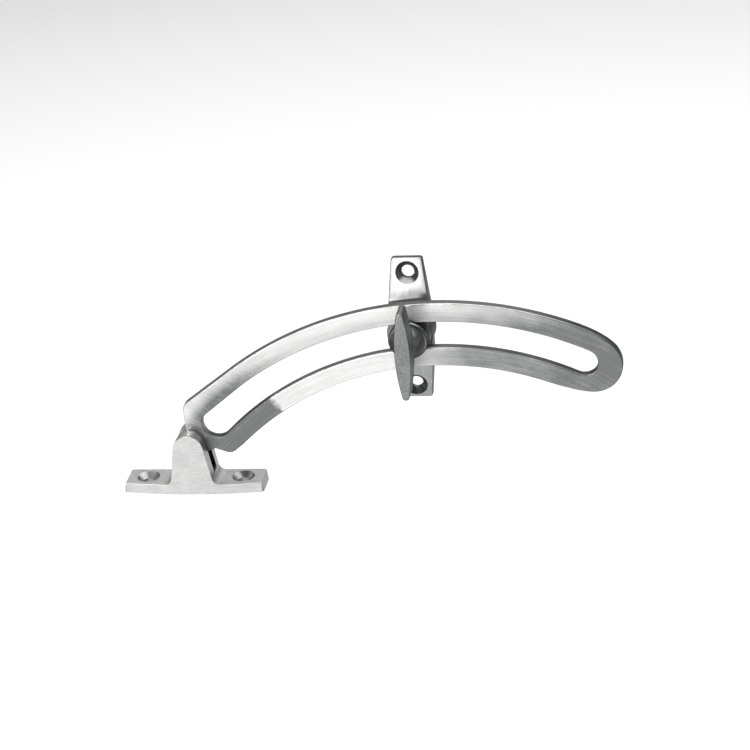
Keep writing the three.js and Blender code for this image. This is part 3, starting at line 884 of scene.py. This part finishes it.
class StayClamp(bpy.types.Operator):
    """Model the clamp bracket, its stud and the washer behind the arm"""

    bl_idname = "stay.clamp"
    bl_label = "Clamp Bracket and Stud"

    def execute(self, context):
        axis = (STUD.x, 0, STUD.z)
        back, face = CLAMP_HIGH.y - BEVEL_ROOM, CLAMP_LOW.y
        half = (CLAMP_HIGH.z - CLAMP_LOW.z) / 2
        clamp = flat_piece(
            "clamp_bracket_satin", [clamp_profile()], STUD.x - 12, STUD.x + 12, along="X")
        front = flat_piece("front", [clamp_face()], face - PAST, back + PAST)
        clamp = soften(combine(clamp, front, "INTERSECT"), sized().cast_edge)
        boss = turned("boss", [(BOSS_R, face), (BOSS_FOOT_R, back)], axis)
        clamp = combine(clamp, boss, "UNION")
        clamp = cut(clamp, turned("bore", [(BORE_R, face - PAST), (BORE_R, back + PAST)], axis))
        seat, seat_r = BOLT_HIGH.y - HEAD_THICK - 0.3, HEAD_R + HEAD_ROOM
        clamp = cut(clamp, turned("seat", [(seat_r, seat), (seat_r, back + PAST)], axis))
        slope = math.atan((LUG_END - LUG_ROOT) / (half - COVE_Z))
        hole_y = LUG_ROOT + (CLAMP_HOLE_Z - COVE_Z) * math.tan(slope)
        for side in (-1, 1):
            centre = (STUD.x, hole_y, STUD.z + side * CLAMP_HOLE_Z)
            sink = sink_cutter("sink", (0, 0, 0), "Y", 0, back - hole_y + PAST)
            sink.rotation_euler.x = -side * slope
            sink.location = Vector(centre) * MM
            clamp = cut(clamp, settle(sink))
        finish_piece(shade(clamp), clamp_satin(), "clamp", ["clamp_bracket"])

        low, high = BOLT_LOW.y, BOLT_HIGH.y
        stud = turned("clamp_stud_steel", [
            (STUD_R - STUD_EDGE, low), (STUD_R, low + STUD_EDGE),
            (STUD_R, high - HEAD_THICK), (HEAD_R, high - HEAD_THICK),
            (HEAD_R, high - 0.3), (HEAD_R - 0.3, high)], axis)
        reach, half_slot = HEAD_R + PAST, DRIVER_WIDTH / 2
        stud = cut(stud, block(
            "driver", (STUD.x - reach, high - DRIVER_DEEP, STUD.z - half_slot),
            (STUD.x + reach, high + PAST, STUD.z + half_slot)))
        finish_piece(shade(stud), turned_steel(), "clamp", ["clamp_stud"])

        rim = (REAR_HIGH.x - REAR_LOW.x) / 2
        low, high = REAR_LOW.y, REAR_HIGH.y
        rear = turned("rear_washer_steel", [
            (rim - WASHER_EDGE, low), (rim, low + WASHER_EDGE),
            (rim, high - WASHER_EDGE), (rim - WASHER_EDGE, high)], axis)
        rear = cut(rear, turned("bore", [(BORE_R, low - PAST), (BORE_R, high + PAST)], axis))
        finish_piece(shade(rear), turned_steel(), "clamp", ["rear_washer"])
        return {"FINISHED"}


class StayGuide(bpy.types.Operator):
    """Model the block that rides in the slot"""

    bl_idname = "stay.guide"
    bl_label = "Slot Guide"

    def execute(self, context):
        lean = math.asin((STUD.x - ARC.x) / math.dist((STUD.x, STUD.z), (ARC.x, ARC.z)))
        ends = GUIDE_STRAIGHT, GUIDE_HALF_WIDTH
        outline = arc((ends[0], 0), ends[1], -math.pi / 2, math.pi / 2, 20)
        outline += arc((-ends[0], 0), ends[1], math.pi / 2, 1.5 * math.pi, 20)
        hole = arc((0, 0), BORE_R, 0, 2 * math.pi, 40)
        cos, sin = math.cos(lean), math.sin(lean)
        loops = [
            [(STUD.x + u * cos + v * sin, STUD.z - u * sin + v * cos) for u, v in loop]
            for loop in (outline, hole)
        ]
        guide = flat_piece("slot_guide_steel", loops, GUIDE_LOW.y, GUIDE_HIGH.y, rounded=0.2 * MM)
        finish_piece(shade(guide), turned_steel(), "guide", ["slot_guide"])
        return {"FINISHED"}


class StayWasher(bpy.types.Operator):
    """Model the pressure washer in front of the arm"""

    bl_idname = "stay.washer"
    bl_label = "Pressure Washer"

    def execute(self, context):
        axis = (STUD.x, 0, STUD.z)
        rim = (PRESS_HIGH.x - PRESS_LOW.x) / 2
        front, back = PRESS_LOW.y, PRESS_HIGH.y
        ring = turned("pressure_washer_satin", [
            (rim - 1.3, front), (rim - 0.7, front + 0.1), (rim - 0.25, front + 0.4),
            (rim, front + 0.9), (rim, back - 0.2), (rim - 0.2, back)], axis)
        ring = cut(ring, turned("bore", [(BORE_R, front - PAST), (BORE_R, back + PAST)], axis))
        material = belt_satin(
            "satin_plated_washer", 0.0, dull=0.85, grain=0.6, stretch=0.0, along=0.8, across=0.5)
        finish_piece(shade(ring), material, "washer", ["pressure_washer"])
        return {"FINISHED"}


# ---------------------------------------------------------------- the thumb turn

def wing_face():
    """The wing's front view, a long leaf, as a loop in X and Z."""
    tip_z = WING_HALF - WING_TIP
    bulge = 2 * WING_THICK - WING_TIP
    loop = bend((WING_TIP, -tip_z), (bulge, 0), (WING_TIP, tip_z), 28)
    loop += arc((0, tip_z), WING_TIP, 0, math.pi, 12)
    loop += bend((-WING_TIP, tip_z), (-bulge, 0), (-WING_TIP, -tip_z), 28)
    loop += arc((0, -tip_z), WING_TIP, math.pi, 2 * math.pi, 12)
    return [(STUD.x + x, STUD.z + z) for x, z in loop]


def wing_profile():
    """The wing's side view, narrowing to its root at the hub, as a loop in Y and Z."""
    front, root_z = WING_LOW.y + BEVEL_ROOM, HUB_R + 0.6
    root_y = WING_HIGH.y - 3.2
    upper = [(root_y, 0), (root_y, root_z)]
    upper += bend((root_y, root_z), (WING_BACK - 1, root_z + 2), (WING_BACK, WING_HALF), 16)
    upper += bend(
        (front + WING_CORNER, WING_HALF), (front, WING_HALF), (front, WING_HALF - WING_CORNER), 6)
    lower = [(y, -z) for y, z in reversed(upper)]
    return [(y, STUD.z + z) for y, z in upper + lower]


class StayThumb(bpy.types.Operator):
    """Model the thumb turn: a wing on a flanged hub"""

    bl_idname = "stay.thumb"
    bl_label = "Thumb Turn"

    def execute(self, context):
        axis = (STUD.x, 0, STUD.z)
        back = WING_HIGH.y
        wing = flat_piece("thumb_turn_satin", [wing_face()], WING_LOW.y - PAST, back)
        side = flat_piece("side", [wing_profile()], STUD.x - 6, STUD.x + 6, along="X")
        wing = soften(combine(wing, side, "INTERSECT"), sized().wing_edge)
        hub = turned("hub", [
            (HUB_FLANGE_R - 0.2, back), (HUB_FLANGE_R, back - 0.2), (HUB_FLANGE_R, back - 0.8),
            (HUB_FLANGE_R - 0.2, back - 1), (HUB_R + 0.5, back - 1.8), (HUB_R, back - 3),
            (HUB_R - 0.4, back - 6), (WING_THICK - 0.4, back - 8.6), (0.5, back - 8.8)], axis)
        wing = combine(wing, hub, "UNION")
        bore = [(BORE_R, BOLT_LOW.y - 0.3), (BORE_R, back + PAST)]
        wing = cut(wing, turned("bore", bore, axis))
        material = belt_satin(
            "satin_plated_wing", math.radians(90), dull=0.92, grain=0.4, stretch=0.0, along=0.7,
            gloss=0.42)
        finish_piece(shade(wing), material, "thumb", ["thumb_turn"])
        return {"FINISHED"}


# ---------------------------------------------------------------- the studio

def area_light(name, place_at, look_at, size, power):
    """A white rectangular light of size metres and power watts, aimed at a place."""
    data = bpy.data.lights.new(name, "AREA")
    data.shape = "RECTANGLE"
    data.size, data.size_y = size
    data.energy = power
    light = bpy.data.objects.new(name, data)
    bpy.context.scene.collection.objects.link(light)
    light.location = place_at
    way = Vector(look_at) - Vector(place_at)
    light.rotation_euler = way.to_track_quat("-Z", "Y").to_euler()


def studio_world():
    """A grey room behind the object, and a nearly dark one in front of it."""
    world = bpy.data.worlds.new("studio")
    bpy.context.scene.world = world
    world.use_nodes = True
    tree = world.node_tree
    tree.nodes.clear()
    way = node(tree, "ShaderNodeTexCoord").outputs["Generated"]
    parts = node(tree, "ShaderNodeSeparateXYZ", None, {0: way})
    behind = ramp(tree, parts.outputs[1], -0.5, 0.5, 0.0, 1.0)
    lit = node(tree, "ShaderNodeMix", {"data_type": "RGBA"}, {
        "Factor": behind, 6: (0.05, 0.05, 0.05, 1), 7: (0.26, 0.26, 0.26, 1)}).outputs[2]
    back = node(tree, "ShaderNodeBackground", None, {"Color": lit, "Strength": 1.0})
    node(tree, "ShaderNodeOutputWorld", None, {"Surface": back.outputs[0]})


def studio_camera():
    """The camera stands right of and above the face, rolled a little, with a long lens."""
    azimuth, elevation, roll = math.radians(10.6), math.radians(25.2), math.radians(5.2)
    distance = 0.9
    target = Vector((67.5, 0, 42.6)) * MM
    forward = Vector((
        -math.sin(azimuth) * math.cos(elevation),
        math.cos(azimuth) * math.cos(elevation),
        -math.sin(elevation)))
    level = Vector((math.cos(azimuth), math.sin(azimuth), 0))
    over = level.cross(forward)
    right = level * math.cos(roll) - over * math.sin(roll)
    up = level * math.sin(roll) + over * math.cos(roll)
    data = bpy.data.cameras.new("camera")
    data.sensor_width = 36
    data.lens = 125.712    # with this distance, 257.7 mm across at the target
    data.clip_start = 0.05
    data.clip_end = 50
    camera = bpy.data.objects.new("camera", data)
    bpy.context.scene.collection.objects.link(camera)
    turn = Matrix((right, up, -forward)).transposed().to_4x4()
    camera.matrix_world = Matrix.Translation(target - forward * distance) @ turn
    bpy.context.scene.camera = camera


class StayStage(bpy.types.Operator):
    """Set up the floor, the lights and the camera"""

    bl_idname = "stay.stage"
    bl_label = "Studio"

    def execute(self, context):
        deselect()
        bpy.ops.mesh.primitive_plane_add(size=6, location=(0, 0, FLOOR))
        floor = bpy.context.object
        floor.name = "floor"
        material, tree = new_material("pale_floor")
        shader = node(tree, "ShaderNodeBsdfPrincipled", None, {
            "Base Color": linear(colours().floor), "Roughness": 0.9})
        node(tree, "ShaderNodeOutputMaterial", None, {"Surface": shader.outputs[0]})
        floor.data.materials.append(material)

        # The card is low in front, and only brightens the clamp's upper lug.
        middle = (0.075, 0, 0.045)
        area_light("key", (-0.3, -0.95, 0.2), middle, (0.1, 0.1), 3.9)
        area_light("over", (0.1, 0.35, 0.95), (0.1, 0.35, 0), (1.8, 1.3), 21)
        area_light("card", (-0.03, -0.62, 0.02), (0.08, 0, 0.075), (0.3, 0.12), 0.17)
        studio_world()
        studio_camera()
        context.scene.view_settings.view_transform = "Standard"
        return {"FINISHED"}


# ---------------------------------------------------------------- panel and registration

STEPS = ("arm", "base", "clamp", "guide", "washer", "thumb", "stage")


class StayPanel(bpy.types.Panel):
    """Lists the steps that build the stay"""

    bl_idname = "VIEW3D_PT_window_stay"
    bl_label = "Window Stay"
    bl_space_type = "VIEW_3D"
    bl_region_type = "UI"
    bl_category = "Window Stay"

    def draw(self, context):
        for step in STEPS:
            self.layout.operator("stay." + step)


CLASSES = (
    StaySizes, StayColours, StayArm, StayBase, StayClamp, StayGuide, StayWasher, StayThumb,
    StayStage, StayPanel,
)


def register():
    for kind in CLASSES:
        bpy.utils.register_class(kind)
    bpy.types.Scene.stay_sizes = PointerProperty(type=StaySizes)
    bpy.types.Scene.stay_colours = PointerProperty(type=StayColours)


def unregister():
    del bpy.types.Scene.stay_colours
    del bpy.types.Scene.stay_sizes
    for kind in reversed(CLASSES):
        bpy.utils.unregister_class(kind)


def main():
    register()
    for step in STEPS:
        getattr(bpy.ops.stay, step)()


if __name__ == "__main__":
    main()
